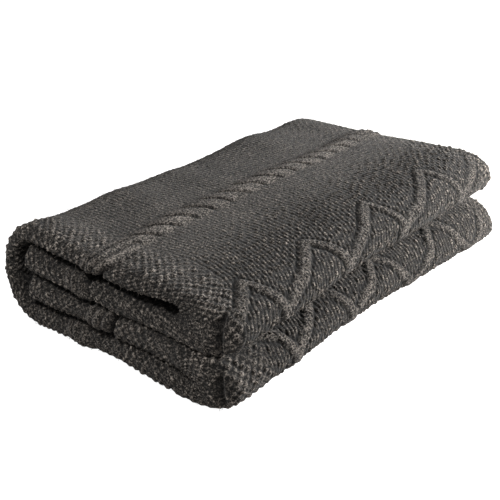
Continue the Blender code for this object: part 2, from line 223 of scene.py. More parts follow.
# Grid of the cloth: rows run along the cloth's route, columns across its courses
ROW_STEP = 0.0013
COLUMN_STEP = 0.0019
NOSE_ROWS = 46
RIM = 0.0060
RIM_PLACES = (0.0, 0.0004, 0.0013, 0.0027, 0.0044)


def smooth(value, low, high):
    """Soft step from 0 at low to 1 at high."""
    t = np.clip((value - low) / (high - low), 0, 1)
    return t * t * (3 - 2 * t)


def band(value, rise_from, rise_to, fall_from, fall_to):
    """Soft step up to 1, and down again further on."""
    return smooth(value, rise_from, rise_to) * (1 - smooth(value, fall_from, fall_to))


def turn(side, apex, depth, start, end, fullness):
    """Half turn of a sheet between two levels, as (y, z) points."""
    angles = np.linspace(-math.pi / 2, math.pi / 2, TURN_STEPS)
    across = np.abs(np.cos(angles)) ** (2 / fullness)
    up = np.sign(angles) * np.abs(np.sin(angles)) ** (2 / fullness)
    y = apex - side * depth * (1 - across)
    z = (start + end) / 2 + (end - start) / 2 * up
    return np.column_stack([y, z])


class Route:
    """Middle line of one sheet through the folds, measured along the cloth."""

    def __init__(self, turns, first_edge, last_edge):
        points = [first_edge]
        marks = [0]
        for row in turns:
            marks.append(len(points))
            points.extend(turn(*row))
            marks.append(len(points) - 1)
        points.append(last_edge)
        marks.append(len(points) - 1)
        self.points = np.array(points)
        steps = np.linalg.norm(np.diff(self.points, axis=0), axis=1)
        self.along = np.concatenate([[0], np.cumsum(steps)])
        self.marks = self.along[marks]
        tangent = np.gradient(self.points, self.along, axis=0)
        tangent /= np.linalg.norm(tangent, axis=1)[:, None]
        self.normals = np.column_stack([-tangent[:, 1], tangent[:, 0]])

    def at(self, along):
        """Points and outward normals at lengths along the cloth."""
        point = np.stack([np.interp(along, self.along, self.points[:, k]) for k in (0, 1)], -1)
        normal = np.stack([np.interp(along, self.along, self.normals[:, k]) for k in (0, 1)], -1)
        return point, normal / np.linalg.norm(normal, axis=-1)[..., None]


OUT = Route(OUT_TURNS, (UPPER_FLAP_EDGE, UPPER_OUT), (LOWER_FLAP_EDGE, LOWER_OUT))
IN_EDGES = (UPPER_FLAP_EDGE, UPPER_IN), (LOWER_FLAP_EDGE, LOWER_IN)
IN_NOSE = Route(IN_TURNS_NOSE, *IN_EDGES)
IN_OPEN = Route(IN_TURNS_OPEN, *IN_EDGES)
CLOTH_LENGTH = OUT.marks[-1]
_, CREASE_ABOVE, FOLD_TOP, WRAP_TOP, WRAP_FOOT, FOLD_FOOT, CREASE_BELOW, _ = OUT.marks


def with_rims(end, step):
    """Places from 0 to an end, evenly apart but closer beside both rims."""
    count = round((end - 2 * RIM) / step) + 1
    middle = np.linspace(RIM, end - RIM, count)
    return np.concatenate([RIM_PLACES, middle, [end - p for p in reversed(RIM_PLACES)]])


def rim_share(distance):
    """Share of the cloth's thickness left near an edge, which is round."""
    return np.sqrt(1 - (1 - np.clip(distance / RIM, 0, 1)) ** 2)


def wave_at(points, wave):
    """Height of a slow wave at every point."""
    phase = sum(points[..., k] * wave[name] for k, name in enumerate("xyz"))
    return wave["size"] * np.sin(phase + wave["start"])


def settle(points):
    """Bends the pile as it lies: higher at the open end, a little lumpy, its wrap tucked in."""
    x, y, z = points[..., 0], points[..., 1], points[..., 2]
    up = np.clip(z / (TOP_OUT + SHEET / 2), 0, 1)
    far = smooth(x, -LENGTH / 2, LENGTH / 2)
    fold_side = smooth(-y, FOLD_FROM, WIDTH / 2)
    wrap_side = smooth(y, WRAP_FROM, WIDTH / 2)
    nose_side = smooth(-x, NOSE_FROM, LENGTH / 2)
    open_side = smooth(x, 0, LENGTH / 2)
    crown = np.cos(math.pi * x / LENGTH) * np.cos(math.pi * CROWN_SPREAD * y / WIDTH)
    lift = FAR_RISE * far * up - NEAR_FALL * (1 - far) + CROWN * crown
    lift = lift + fold_side * (FOLD_RISE * far - FOLD_FALL * (1 - far))
    lift = lift + wave_at(points, LUMP_WAVE) * wave_at(points, LUMP_SHARE)
    for place, height, reach in BACK_BUMPS:
        lift = lift + height * smooth(y, BACK_FROM, BACK_TO) * np.exp(-((x - place) / reach) ** 2)
    waist = WAIST * fold_side * (1 - up) * np.exp(-((x - WAIST_X) / WAIST_REACH) ** 2)
    waist = waist - SPLAY * fold_side * (1 - up) ** 2 * open_side
    droop = DROOP * fold_side * open_side * np.exp(-((up - DROOP_UP) / DROOP_REACH) ** 2)
    tuck = TUCK * wrap_side * (1 - up) ** 2
    shoulder = SHOULDER * wrap_side * nose_side * up
    recess = wave_at(points, NOSE_WAVE) + TOP_RECESS * smooth(up, *TOP_SHARE)
    moved = points.copy()
    moved[..., 0] = x + nose_side * recess
    moved[..., 1] = y + wave_at(points, SIDE_WAVE) * up + waist - tuck + shoulder
    moved[..., 2] = np.maximum(z + lift * up - droop, 0)
    return moved + np.array(PILE_SHIFT)


def inner_at(along, x):
    """Points and normals of the inner sheet beside lengths along the outer sheet."""
    nose_point, nose_normal = IN_NOSE.at(np.interp(along, OUT.marks, IN_NOSE.marks))
    open_point, open_normal = IN_OPEN.at(np.interp(along, OUT.marks, IN_OPEN.marks))
    fill = smooth(x, FILL_FROM, FILL_TO)
    normal = nose_normal + (open_normal - nose_normal) * fill
    normal /= np.linalg.norm(normal, axis=-1)[..., None]
    return nose_point + (open_point - nose_point) * fill, normal


def bare_cloth(along, face):
    """Smooth cloth before its stitches: outer sheet from the open end, nose, inner sheet.
    Gives the grid of points and the first rows of the nose and of the inner sheet."""
    out_x = OPEN_END - with_rims(OPEN_END - FLAT_END + RIM, ROW_STEP)
    out_x = out_x[out_x > FLAT_END + ROW_STEP / 2]
    edge = rim_share(np.minimum(along, CLOTH_LENGTH - along))
    out_point, out_normal = OUT.at(along)
    rows = []
    for x in out_x:
        half = face * edge * rim_share(OPEN_END - x) * SHEET / 2
        place = out_point + out_normal * half[:, None]
        rows.append(np.column_stack([np.full(len(along), x), place]))
    in_point, in_normal = inner_at(along, FLAT_END)
    apart = np.linalg.norm(out_point - in_point, axis=1)
    depth = NOSE_DEPTH + NOSE_SPREAD * np.maximum(apart - SHEET - LOOSE_GAP, 0)
    half = face * edge * SHEET / 2
    for angle in np.linspace(0, math.pi, NOSE_ROWS):
        share = (1 - math.cos(angle)) / 2
        middle = out_point + (in_point - out_point) * share
        normal = out_normal * (1 - share) + in_normal * share
        normal /= np.linalg.norm(normal, axis=1)[:, None]
        place = middle + normal * (math.cos(angle) * half)[:, None]
        rows.append(np.column_stack([FLAT_END - (depth + half) * math.sin(angle), place]))
    for x in np.flip(out_x):
        point, normal = inner_at(along, x)
        half = face * edge * rim_share(OPEN_END - x) * SHEET / 2
        rows.append(np.column_stack([np.full(len(along), x), point - normal * half[:, None]]))
    return np.array(rows), len(out_x), len(out_x) + NOSE_ROWS


ALONG = with_rims(CLOTH_LENGTH, COLUMN_STEP)
OUTSIDE, NOSE_START, NOSE_END = bare_cloth(ALONG, +1)
INSIDE, _, _ = bare_cloth(ALONG, -1)
PLACE_X = OUTSIDE[..., 0].copy()
ALONG_GRID = np.broadcast_to(ALONG, PLACE_X.shape)
ROW_GRID = np.broadcast_to(np.arange(PLACE_X.shape[0])[:, None], PLACE_X.shape)

# The panel is pulled askew over the upper fold: its courses lean towards the nose there
SKEW_PLACES = (0.240, 0.330, 0.376, 0.400, 0.424, 0.450, 0.490, 1.295, 1.320, 1.351, 1.420)
SKEW_SHIFTS = (0.0, 0.055, 0.055, 0.038, 0.022, 0.009, 0.0, 0.0, -0.008, -0.018, 0.0)


def courses(grid):
    """Distance of every point from the start of the nose along the knitting: negative on the outer
    sheet, growing round the nose and over the inner sheet."""
    steps = np.linalg.norm(np.diff(grid, axis=0), axis=2)
    run = np.concatenate([np.zeros((1, grid.shape[1])), np.cumsum(steps, axis=0)])
    run -= run[NOSE_START]
    run[:NOSE_START] = FLAT_END - grid[:NOSE_START, :, 0]
    return run - np.interp(ALONG, SKEW_PLACES, SKEW_SHIFTS)


COURSE = courses(OUTSIDE)
NOSE_RUN = COURSE[NOSE_END] - COURSE[NOSE_START]
# Share of the way round the nose, below 0 on the outer sheet and above 1 on the inner sheet
NOSE_SHARE = (ROW_GRID - NOSE_START) / (NOSE_END - NOSE_START)


# Stitches of the panel
# Moss stitch on both borders and round the nose, reverse stocking stitch on the ground, a twisted
# cable along each layer, and zigzag rope cables over the two folds. Each is a height on the cloth.
# Each also gives light painted into the yarn: painted shade in its hollows, a painted highlight on
# top.
BORDER = 0.042
OPEN_BORDER = 0.052
BORDER_STEP = 0.016
MOSS_WIDTH = 0.0122
MOSS_COURSE = 0.0060
MOSS_HEIGHT = 0.0031
MOSS_CHANCE = (0.45, 0.85)
PURL_WIDTH = 0.0140
PURL_COURSE = 0.0066
PURL_HEIGHT = 0.0027
PURL_CURVE = 0.0008
PURL_CURVE_STEP = 0.031
PURL_ROUND = 1.5
PURL_BROKEN = (0.62, 0.38)
PURL_CHANCE = (0.55, 0.65)
TOP_PURL = 0.38
# Share of light painted where the stitches lie flat
CALM_SHARE = 0.46
NOSE_STRONG = (-0.055, -0.012)
CABLE_PLACES = (
    # length along the cloth of each layer's cable
    UPPER_FLAP_EDGE - 0.045,
    FOLD_TOP + 0.020 - OUT_TURNS[0][1] - OUT_TURNS[0][2],
    WRAP_FOOT + OUT_TURNS[1][1] - OUT_TURNS[1][2] - 0.050,
    CLOTH_LENGTH - (LOWER_FLAP_EDGE - 0.008),
)
CABLE_HALF = 0.023
CABLE_HEIGHT = 0.0064
CABLE_TWIST = 0.0360
CABLE_SLANT = 0.65
CABLE_ROUND = 0.8
CABLE_KNIT = (0.84, 0.16)
CABLE_SHADES = (0.14, 0.10, 0.42)
CABLE_SHADE_ROUND = 0.6
CABLE_COVER = (-1.10, -0.70)
STRAND_EDGE = 0.55
RIB_ROUND = 0.5
VEE_SLANT = 3
ROPE_HALF = 0.0080
ROPE_HEIGHT = 0.0040
ROPE_STITCH = 0.0060
ROPE_SLANT = 0.8
ROPE_ROUND = 0.8
ROPE_VEES = (0.66, 0.40)
ROPE_GROOVE = (0.12, 0.18)
ROPE_CHANCE = (0.75, 0.4)
ROPE_COVER = (-1.10, -0.65)
ROPE_SHADES = (0.16, 0.48)
ROPE_GUTTER = 0.0014
GUTTER_PLACE = 1.22
GUTTER_WIDTH = 0.20
GUTTER_SHADE = 0.50
NOSE_FADE = (0.004, 0.024)
OPEN_FADE = (0.020, 0.050)
UPPER_ROPE = (
    # legs of the zigzag: distance from the nose end, length along the cloth
    ((-0.020, 0.366), (0.019, 0.390), (0.041, 0.403), (0.070, 0.424)),
    ((0.070, 0.424), (0.082, 0.396), (0.096, 0.364)),
    ((0.094, 0.366), (0.124, 0.381), (0.149, 0.388), (0.178, 0.405), (0.208, 0.427)),
    ((0.208, 0.427), (0.223, 0.400), (0.238, 0.362)),
    ((0.232, 0.364), (0.254, 0.377), (0.292, 0.393), (0.318, 0.413), (0.348, 0.432)),
    ((0.348, 0.432), (0.357, 0.402), (0.372, 0.362)),
    ((0.360, 0.366), (0.389, 0.380), (0.414, 0.384), (0.445, 0.400), (0.500, 0.434)),
    ((0.500, 0.434), (0.512, 0.400), (0.536, 0.360)),
    ((0.526, 0.362), (0.555, 0.371), (0.590, 0.386), (0.645, 0.424)),
)
LOWER_ROPE = (
    ((0.055, 1.338), (0.104, 1.311), (0.110, 1.294), (0.130, 1.262)),
    ((0.114, 1.260), (0.129, 1.286), (0.147, 1.296), (0.165, 1.308), (0.195, 1.334)),
    ((0.188, 1.334), (0.226, 1.313), (0.234, 1.298), (0.256, 1.262)),
    ((0.240, 1.262), (0.275, 1.286), (0.297, 1.292), (0.312, 1.308), (0.337, 1.334)),
    ((0.330, 1.334), (0.353, 1.308), (0.372, 1.284), (0.404, 1.258)),
    ((0.392, 1.258), (0.429, 1.281), (0.448, 1.291), (0.458, 1.306), (0.487, 1.334)),
    ((0.481, 1.334), (0.508, 1.312), (0.528, 1.286), (0.572, 1.256)),
    ((0.556, 1.256), (0.584, 1.272), (0.600, 1.292), (0.645, 1.334)),
)
SPAN_ABOVE = (0.34, 0.46)
SPAN_BELOW = (1.235, 1.355)
# Lengths along the cloth where the stitches grow to their full height and fade again
STRONG_ABOVE = (0.2, 0.34, 0.44, 0.56)
STRONG_BELOW = (1.19, 1.25, 1.355, 1.45)
# Most light painted on the stitches' tops
MOST_PAINTED_LIGHT = 1.1
FAR_OFF = 9.0
# Slow shifts of the knitting: size, wave along the cloth, wave along the knitting, start
WANDER_ALONG = (0.0026, 0.021, 0.018, 1.0)
WANDER_COURSE = (0.0024, 0.026, 0.016, 4.0)
SLOW_SWELL = (0.0011, 0.045, 0.06, 2.0)
CHANCE = np.random.default_rng(11).random((97, 89))


def uneven(a, b, start):
    """Slow, irregular value between about -1 and 1, from waves that don't line up."""
    value = np.sin(a + 0.6 * b + start) + np.sin(-0.7 * a + 1.3 * b + 2.1 * start)
    value = value + np.sin(1.7 * a + 0.3 * b + 3.7 * start) * np.sin(0.9 * b - 0.5 * a + start)
    return value / 2.6


def wander(along, course, size, along_wave, course_wave, start):
    """A small, slow shift that makes the knitting uneven."""
    return size * uneven(along / along_wave, course / course_wave, start)


def chance(a, b):
    """Random share for the stitch that holds each point."""
    row = np.round(a).astype(int) % CHANCE.shape[0]
    place = np.round(b).astype(int) % CHANCE.shape[1]
    return CHANCE[row, place]


def moss(along, course):
    """Knots in every other place of every other course."""
    a = along / MOSS_WIDTH
    b = course / (2 * MOSS_COURSE)
    knots = 0.5 + 0.5 * np.cos(2 * math.pi * a) * np.cos(2 * math.pi * b)
    least, more = MOSS_CHANCE
    return knots * (least + more * chance(2 * a, 2 * b))


def purl(along, course):
    """Long bars side by side, each broken into stitches that its neighbours don't line up with."""
    b = (course + PURL_CURVE * np.sin(2 * math.pi * along / PURL_CURVE_STEP)) / PURL_COURSE
    a = along / PURL_WIDTH + chance(b, 0 * b)
    bars = np.cos(math.pi * (b - np.round(b))) ** PURL_ROUND
    middle, swing = PURL_BROKEN
    least, more = PURL_CHANCE
    return bars * (middle + swing * np.cos(2 * math.pi * a)) * (least + more * chance(a, b))


def leg(from_nose, along, points):
    """Distance from one leg of a rope, and the length along it."""
    nearest = np.full(along.shape, FAR_OFF)
    run = np.zeros(along.shape)
    before = 0
    for (x0, s0), (x1, s1) in zip(points, points[1:]):
        long = math.hypot(x1 - x0, s1 - s0)
        t = ((from_nose - x0) * (x1 - x0) + (along - s0) * (s1 - s0)) / long
        t = np.clip(t, 0, long)
        far = np.hypot(from_nose - x0 - t * (x1 - x0) / long, along - s0 - t * (s1 - s0) / long)
        closer = far < nearest
        nearest = np.where(closer, far, nearest)
        run = np.where(closer, before + t, run)
        before += long
    return nearest, run


def rope(from_nose, along, legs):
    """Height of a zigzag rope's stitches, and the distance from its middle in half widths."""
    groove_share, groove_width = ROPE_GROOVE
    level, vee_share = ROPE_VEES
    least, more = ROPE_CHANCE
    height = np.zeros(along.shape)
    nearest = np.full(along.shape, FAR_OFF)
    for points in legs:
        distance, run = leg(from_nose, along, points)
        off = distance / ROPE_HALF
        vees = 0.5 + 0.5 * np.cos(2 * math.pi * (run / ROPE_STITCH + ROPE_SLANT * off))
        groove = np.exp(-(off / groove_width) ** 2)
        body = np.clip(1 - off ** 2, 0, 1) ** ROPE_ROUND
        body = body * (level + vee_share * vees - groove_share * groove)
        body = body * (least + more * chance(run / ROPE_STITCH, 2 * off))
        height = np.maximum(height, body)
        nearest = np.minimum(nearest, off)
    return height, nearest


def cable(along, course, middle, straight):
    """Height of one twisted cable, the light and shade painted on it, and how far it covers the
    ground.
    """
    off = (along - middle) / CABLE_HALF
    inside = np.clip(off, -1, 1)
    twist = (course - CABLE_SLANT * CABLE_HALF * np.sin(0.5 * math.pi * inside)) / CABLE_TWIST
    strands = smooth(np.abs(np.sin(math.pi * twist)), 0, STRAND_EDGE)
    ribs = np.abs(np.cos(1.5 * math.pi * inside)) ** RIB_ROUND
    shape = strands * (1 - straight) + ribs * straight
    body = (1 - inside ** 2) ** CABLE_ROUND
    vees = 0.5 + 0.5 * np.cos(2 * math.pi * (course / PURL_COURSE + VEE_SLANT * np.abs(off)))
    # Painted light: a painted highlight on the strands and vees, painted shade between the strands.
    on_strand, on_vee, between = CABLE_SHADES
    tone_and_shade = on_strand * shape + on_vee * vees - between * (1 - shape)
    tone_and_shade = CALM_SHARE + tone_and_shade * body ** CABLE_SHADE_ROUND
    strand, vee = CABLE_KNIT
    return body * (strand * shape + vee * vees), tone_and_shade, smooth(-np.abs(off), *CABLE_COVER)


def ground(along, course, from_open):
    """Moss stitch or purl bars: the light painted on their tops and hollows, their height, and the
    border.
    """
    nose_border = smooth(course, -BORDER - BORDER_STEP, -BORDER)
    past_nose = course - NOSE_RUN - BORDER
    nose_border = nose_border * (1 - smooth(past_nose, 0, BORDER_STEP))
    open_border = 1 - smooth(from_open, OPEN_BORDER - BORDER_STEP, OPEN_BORDER)
    border = np.maximum(nose_border, open_border)
    strong = np.maximum(band(along, *STRONG_ABOVE), band(along, *STRONG_BELOW))
    strong = np.maximum(strong, smooth(course, *NOSE_STRONG))
    full = MOSS_HEIGHT * border + PURL_HEIGHT * (1 - border)
    full = full * (TOP_PURL + (1 - TOP_PURL) * strong)
    calm = (1 - TOP_PURL) * (1 - strong)
    knitted = moss(along, course) * border + purl(along, course) * (1 - border)
    return knitted * (1 - calm) + CALM_SHARE * calm, knitted * full, border


def stitches(along, course, x, outer):
    """Height of the stitches above the cloth's hollows, and the light and shade painted on them."""
    a = along + wander(along, course, *WANDER_ALONG)
    c = course + wander(along, course, *WANDER_COURSE)
    share, height, border = ground(a, c, OPEN_END - x)
    from_nose = np.where(outer, x + LENGTH / 2, 0)
    present = smooth(from_nose, *NOSE_FADE) * smooth(OPEN_END - x, *OPEN_FADE)
    low_shade, high_shade = ROPE_SHADES
    for (first, last), legs in ((SPAN_ABOVE, UPPER_ROPE), (SPAN_BELOW, LOWER_ROPE)):
        columns = np.flatnonzero((along[0] > first) & (along[0] < last))
        part = slice(columns[0], columns[-1] + 1)
        body, off = rope(from_nose[:, part], along[:, part], legs)
        cover = smooth(-off, *ROPE_COVER) * present[:, part]
        gutter = np.exp(-((off - GUTTER_PLACE) / GUTTER_WIDTH) ** 2) * present[:, part]
        raised = height[:, part] * (1 - cover) + body * cover * ROPE_HEIGHT
        height[:, part] = raised - gutter * ROPE_GUTTER
        # Painted light on the ropes: a painted highlight on their tops, painted shade along the
        # gutter beside them.
        shade = share[:, part] * (1 - cover) + (low_shade + high_shade * body) * cover
        share[:, part] = shade - GUTTER_SHADE * gutter
    for middle in CABLE_PLACES:
        body, tone_and_shade, cover = cable(a, c, middle, border)
        height = height * (1 - cover) + body * CABLE_HEIGHT * cover
        share = share * (1 - cover) + tone_and_shade * cover
    return height, np.clip(share, 0, MOST_PAINTED_LIGHT)


# Creases of the doubled cloth at the nose
# The thick wool bends sharply there: it creases beside its cables and puffs up between them, and
# the noses of the layers are pressed together by the weight of the pile.
CREASE_WIDTH = 0.0034
CREASE_DEPTH = 0.0090
CREASES = (
    # length along the cloth, share of the depth
    (CABLE_PLACES[0] + 0.026, 1.4),
    (CABLE_PLACES[1] - 0.025, 0.9),
    (CABLE_PLACES[2] + 0.026, 0.2),
    (CABLE_PLACES[3] - 0.026, 1.4),
)
CREASE_ROUND = (-0.9, 0.15, 0.95, 1.3)
CREASE_SHADE = 0.8
PUFF = 0.0016
PUFF_STEP = 0.16
CORNERS = (
    # place along Y, the levels between which the crease deepens and ends
    (-0.172, (0.058, 0.076, 0.112, 0.126)),
    (-0.180, (0.008, 0.022, 0.044, 0.060)),
)
CORNER_WIDTH = 0.0042
CORNER_DEPTH = 0.0100
CORNER_REACH = (0.270, 0.295)
CORNER_LEAN = 0.10
CORNER_SHADE = 0.8
CLOSED_TOP = 0.0030
CLOSED_ACROSS = (-0.086, -0.064, 0.004, 0.036)
CLOSED_ALONG = (FOLD_TOP - 0.02, FOLD_TOP, WRAP_TOP - 0.02, WRAP_TOP)
CLOSED_ROUND = (0.45, 0.85)
PRESS = 0.0044
PRESS_ACROSS = (-0.200, -0.160, -0.012, 0.016)
PRESS_ABOVE = CREASE_ABOVE + 0.03
PRESS_BELOW = FOLD_FOOT - 0.02
PRESS_ROUND = (1.1, 1.7)
SINK = 0.0016
# Painted shade between the layers: where it begins and ends round the nose, and how deep it gets
GAP_INNER = (0.55, 1.05)
GAP_OUTER = (-0.05, 0.40)
GAP_PAINTED_SHADE = 0.70


def normals_of(grid):
    """Unit normals of a grid of points, pointing out of the cloth."""
    normal = np.cross(np.gradient(grid, axis=1), np.gradient(grid, axis=0))
    size = np.linalg.norm(normal, axis=2)
    return normal / np.maximum(size, 1e-12)[..., None]


def nose_creases(along):
    """Depth of the creases beside the cables round the nose."""
    depth = np.zeros(along.shape)
    for place, share in CREASES:
        depth += share * np.exp(-((along - place) / CREASE_WIDTH) ** 2)
    bulge = 0.5 - 0.5 * np.cos(2 * math.pi * (along - CABLE_PLACES[1]) / PUFF_STEP)
    return band(NOSE_SHARE, *CREASE_ROUND) * (CREASE_DEPTH * depth - PUFF * bulge)


def closing(points, along):
    """How far the top layer's nose hangs down on the layer under it."""
    across = band(points[..., 1], *CLOSED_ACROSS)
    return CLOSED_TOP * across * band(along, *CLOSED_ALONG) * smooth(NOSE_SHARE, *CLOSED_ROUND)


def pressed(points, normals, along):
    """How far the layers' noses reach up and down to each other, beside the folds."""
    up = normals[..., 2]
    above = (along < PRESS_ABOVE) & (up < 0)
    under = (along > WRAP_FOOT) & (ROW_GRID > NOSE_START + NOSE_ROWS // 2)
    facing = above | (along > PRESS_BELOW) | under
    near_nose = 1 - smooth(np.abs(NOSE_SHARE - 0.5), *PRESS_ROUND)
    return PRESS * facing * band(points[..., 1], *PRESS_ACROSS) * near_nose * np.abs(up)


def corner_trough(points):
    """The deep creases down the end face beside both folds."""
    x, y, z = points[..., 0], points[..., 1], points[..., 2]
    depth = np.zeros_like(x)
    for place, levels in CORNERS:
        here = smooth(-x, *CORNER_REACH) * band(z, *levels)
        lean = place + CORNER_LEAN * (z - (levels[1] + levels[2]) / 2)
        depth += CORNER_DEPTH * here * np.exp(-((y - lean) / CORNER_WIDTH) ** 2)
    return depth


def gap_shade(along):
    """Share of light painted on the faces between the layers, with painted shade a little way in."""
    flaps = (along < CREASE_ABOVE) | (along > CREASE_BELOW)
    on_flaps = flaps * (1 - smooth(NOSE_SHARE, *GAP_OUTER))
    return 1 - GAP_PAINTED_SHADE * np.maximum(smooth(NOSE_SHARE, *GAP_INNER), on_flaps)


# Light painted into the yarn's colour: painted shade in hollows and creases, painted highlight on
# tops.
HEIGHT, PAINTED_LIGHT = stitches(ALONG_GRID, COURSE, PLACE_X, ROW_GRID < NOSE_START)
RIMS = rim_share(np.minimum(ALONG_GRID, CLOTH_LENGTH - ALONG_GRID)) * rim_share(OPEN_END - PLACE_X)
BARE = settle(OUTSIDE)
crease = nose_creases(ALONG_GRID)
trough = corner_trough(BARE)
out_of_cloth = normals_of(BARE)
swell = wander(ALONG_GRID, COURSE, *SLOW_SWELL) + pressed(BARE, out_of_cloth, ALONG_GRID)
KNIT = BARE + out_of_cloth * ((HEIGHT - SINK - crease + swell) * RIMS)[..., None]
KNIT[..., 2] -= closing(BARE, ALONG_GRID)
KNIT[..., 0] += trough
KNIT[..., 2] = np.maximum(KNIT[..., 2], FLOOR_DROP)
# Painted shade: the yarn is painted darker in the nose creases, the corner troughs and between the
# layers.
PAINTED_LIGHT = PAINTED_LIGHT * (1 - CREASE_SHADE * np.clip(crease / CREASE_DEPTH, 0, 1))
PAINTED_LIGHT = PAINTED_LIGHT * (1 - CORNER_SHADE * trough / CORNER_DEPTH) * gap_shade(ALONG_GRID)
INSIDE_KNIT = settle(INSIDE)
INSIDE_KNIT[..., 2] = np.maximum(INSIDE_KNIT[..., 2], FLOOR_DROP)


# The wool, and the pieces of the panel
# The yarn is spun from dark, mid and light fibres, and hardly shines. The panel is knitted in one,
# and is cut into pieces along its layers for the model only.
YARN_ROUGHNESS = 0.92
YARN_SPECULAR = 0.12
YARN_SHEEN = 0.10
YARN_SHEEN_ROUGHNESS = 0.7
HEATHER = (
    # place on the ramp, colour of the dark, mid and light fibres
    (0.41, (0.009, 0.0077, 0.0064)),
    (0.50, (0.056, 0.0485, 0.0418)),
    (0.59, (0.262, 0.230, 0.200)),
)
PAINTED_SHADING = (
    # painted light, share of light painted from the hollows (painted shade) to the tops (painted
    # highlight)
    (0.0, 0.03), (0.32, 0.34), (1.0, 1.42),
)
# Scale and detail of the heather's flecks, of single fibres and of wide patches
FLECKS = (430, 3)
FIBRES = (1300, 2)
PATCHES = (22, 2)
# From a noise value's low and high to the darkest and lightest tone
FIBRE_TONES = (0.38, 0.62, 0.30, 1.75)
PATCH_TONES = (0.3, 0.7, 0.84, 1.18)
FIBRE_BUMP = 0.7
FIBRE_HEIGHT = 0.0006


def noise(nodes, links, source, scale, detail):
    """A noise texture on a coordinate."""
    texture = nodes.new("ShaderNodeTexNoise")
    texture.inputs["Scale"].default_value = scale
    texture.inputs["Detail"].default_value = detail
    links.new(source, texture.inputs["Vector"])
    return texture.outputs["Fac"]


def ramp(nodes, links, source, stops):
    """A colour ramp fed by a value."""
    colours = nodes.new("ShaderNodeValToRGB")
    elements = colours.color_ramp.elements
    while len(elements) < len(stops):
        elements.new(0.5)
    for element, (position, colour) in zip(elements, stops):
        element.position = position
        element.color = (*colour, 1)
    links.new(source, colours.inputs["Fac"])
    return colours.outputs["Color"]


def times(nodes, links, first, second):
    """Two colours multiplied."""
    mix = nodes.new("ShaderNodeMix")
    mix.data_type = "RGBA"
    mix.blend_type = "MULTIPLY"
    mix.inputs["Factor"].default_value = 1
    links.new(first, mix.inputs["A"])
    links.new(second, mix.inputs["B"])
    return mix.outputs["Result"]


def ranged(nodes, links, source, low, high, to_low, to_high):
    """A value moved from one range to another."""
    change = nodes.new("ShaderNodeMapRange")
    ends = {"From Min": low, "From Max": high, "To Min": to_low, "To Max": to_high}
    for name, value in ends.items():
        change.inputs[name].default_value = value
    links.new(source, change.inputs["Value"])
    return change.outputs["Result"]


def yarn_material():
    """Charcoal heather wool: dark, mid and light fibres, painted shade in hollows, painted highlight
    on tops.
    """
    material = bpy.data.materials.new("charcoal heather yarn")
    material.use_nodes = True
    nodes, links = material.node_tree.nodes, material.node_tree.links
    surface = nodes["Principled BSDF"]
    surface.inputs["Roughness"].default_value = YARN_ROUGHNESS
    surface.inputs["Specular IOR Level"].default_value = YARN_SPECULAR
    surface.inputs["Sheen Weight"].default_value = YARN_SHEEN
    surface.inputs["Sheen Roughness"].default_value = YARN_SHEEN_ROUGHNESS
    place = nodes.new("ShaderNodeTexCoord").outputs["Object"]
    painted_light = nodes.new("ShaderNodeAttribute")
    painted_light.attribute_name = "painted_light"
    fibres = noise(nodes, links, place, *FIBRES)
    colour = ramp(nodes, links, noise(nodes, links, place, *FLECKS), HEATHER)
    for tone_and_shade in (
        ranged(nodes, links, fibres, *FIBRE_TONES),
        ranged(nodes, links, noise(nodes, links, place, *PATCHES), *PATCH_TONES),
        # Painted shade in the stitches' hollows and a painted highlight on their tops
        ramp(nodes, links, painted_light.outputs["Fac"], [(at, (light,) * 3) for at, light in PAINTED_SHADING]),
    ):
        colour = times(nodes, links, colour, tone_and_shade)
    links.new(colour, surface.inputs["Base Color"])
    bump = nodes.new("ShaderNodeBump")
    bump.inputs["Strength"].default_value = FIBRE_BUMP
    bump.inputs["Distance"].default_value = FIBRE_HEIGHT
    links.new(fibres, bump.inputs["Height"])
    links.new(bump.outputs["Normal"], surface.inputs["Normal"])
    return material


YARN = yarn_material()


def dress(piece):
    """What every piece of the blanket has in common."""
    bpy.context.scene.collection.objects.link(piece)
    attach(piece, "root")
    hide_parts("blanket")


def grid_mesh(name, points, outside):
    """Mesh over a grid of points, and the corners of its faces."""
    down, across = points.shape[:2]
    index = np.arange(down * across).reshape(down, across)
    corners = [index[:-1, :-1], index[1:, :-1], index[1:, 1:], index[:-1, 1:]]
    if outside:
        corners.reverse()
    faces = np.stack([c.ravel() for c in corners], axis=1)
    mesh = bpy.data.meshes.new(name)
    mesh.vertices.add(down * across)
    mesh.vertices.foreach_set("co", points.astype(np.float32).ravel())
    mesh.loops.add(faces.size)
    mesh.loops.foreach_set("vertex_index", faces.astype(np.int32).ravel())
    mesh.polygons.add(len(faces))
    mesh.polygons.foreach_set("loop_start", np.arange(0, faces.size, 4, dtype=np.int32))
    mesh.update(calc_edges=True)
    return mesh, faces


def column(along):
    """Number of the column nearest to a length along the cloth."""
    return int(np.abs(ALONG - along).argmin())


def spaced(first, last, step):
    """Whole numbers from first to last, a step apart, both ends included."""
    return np.unique(np.append(np.arange(first, last, step), last))


def cloth_piece(name, grid, row_span, column_span):
    """A piece of the cloth cut from a grid, with the light painted on its stitches and a flat
    layout.
    """
    rows, columns = spaced(*row_span)[:, None], spaced(*column_span)[None, :]
    mesh, faces = grid_mesh(name, grid[rows, columns], grid is KNIT)
    shade = mesh.attributes.new("painted_light", "FLOAT", "POINT")
    shade.data.foreach_set("value", PAINTED_LIGHT[rows, columns].astype(np.float32).ravel())
    layout = mesh.uv_layers.new(name="cloth")
    where = np.stack([ALONG_GRID[rows, columns], COURSE[rows, columns]], -1).reshape(-1, 2)
    layout.data.foreach_set("uv", where[faces.ravel()].astype(np.float32).ravel())
    mesh.materials.append(YARN)
    mesh.shade_smooth()
    piece = bpy.data.objects.new(name, mesh)
    dress(piece)


